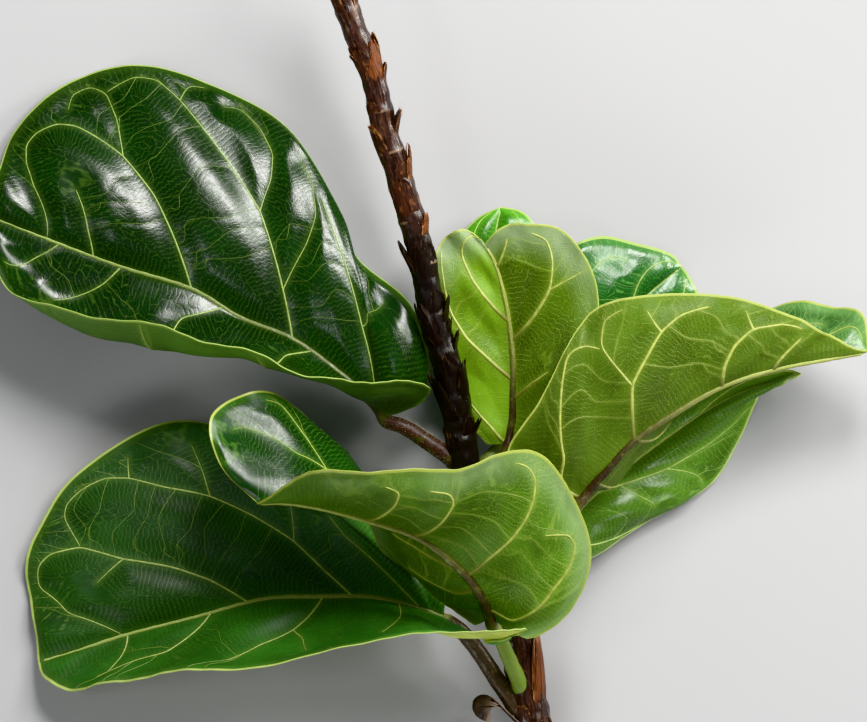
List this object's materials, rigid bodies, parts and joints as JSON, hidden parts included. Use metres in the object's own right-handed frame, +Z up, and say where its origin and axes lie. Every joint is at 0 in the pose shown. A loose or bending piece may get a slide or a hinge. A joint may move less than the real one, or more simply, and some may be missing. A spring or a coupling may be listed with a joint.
{
  "type": "fiddle leaf fig stem",
  "caption": "Cut woody stem of a young fiddle leaf fig with papery stipule scales and large violin-shaped, waved, veined leaves on petioles, lying on its side.",
  "frame": {"origin": "middle of the whole stem's box on the table it lies on", "axes": "+Z up off the table, +Y along the stem from its cut foot towards its bud, +X to its right as seen from above"},
  "size_m": [0.3539, 0.3622, 0.1062],
  "materials": {
    "bark": "rough grey-brown bark with orange-brown papery scales",
    "leaf_dark": "leathery dark green, glossy on top with pale veins, satin olive beneath",
    "leaf_light": "leathery yellow-green, satin, with raised pale veins"
  },
  "bodies": {
    "root": {"stem": "bark", "leaf_upper_left": "leaf_dark", "leaf_lower_left": "leaf_dark", "leaf_front": "leaf_light", "leaf_back_upright": "leaf_light", "leaf_right": "leaf_light", "leaf_lower_right": "leaf_dark", "leaf_back_right": "leaf_dark", "leaf_back_top": "leaf_dark"}
  },
  "joints": []
}
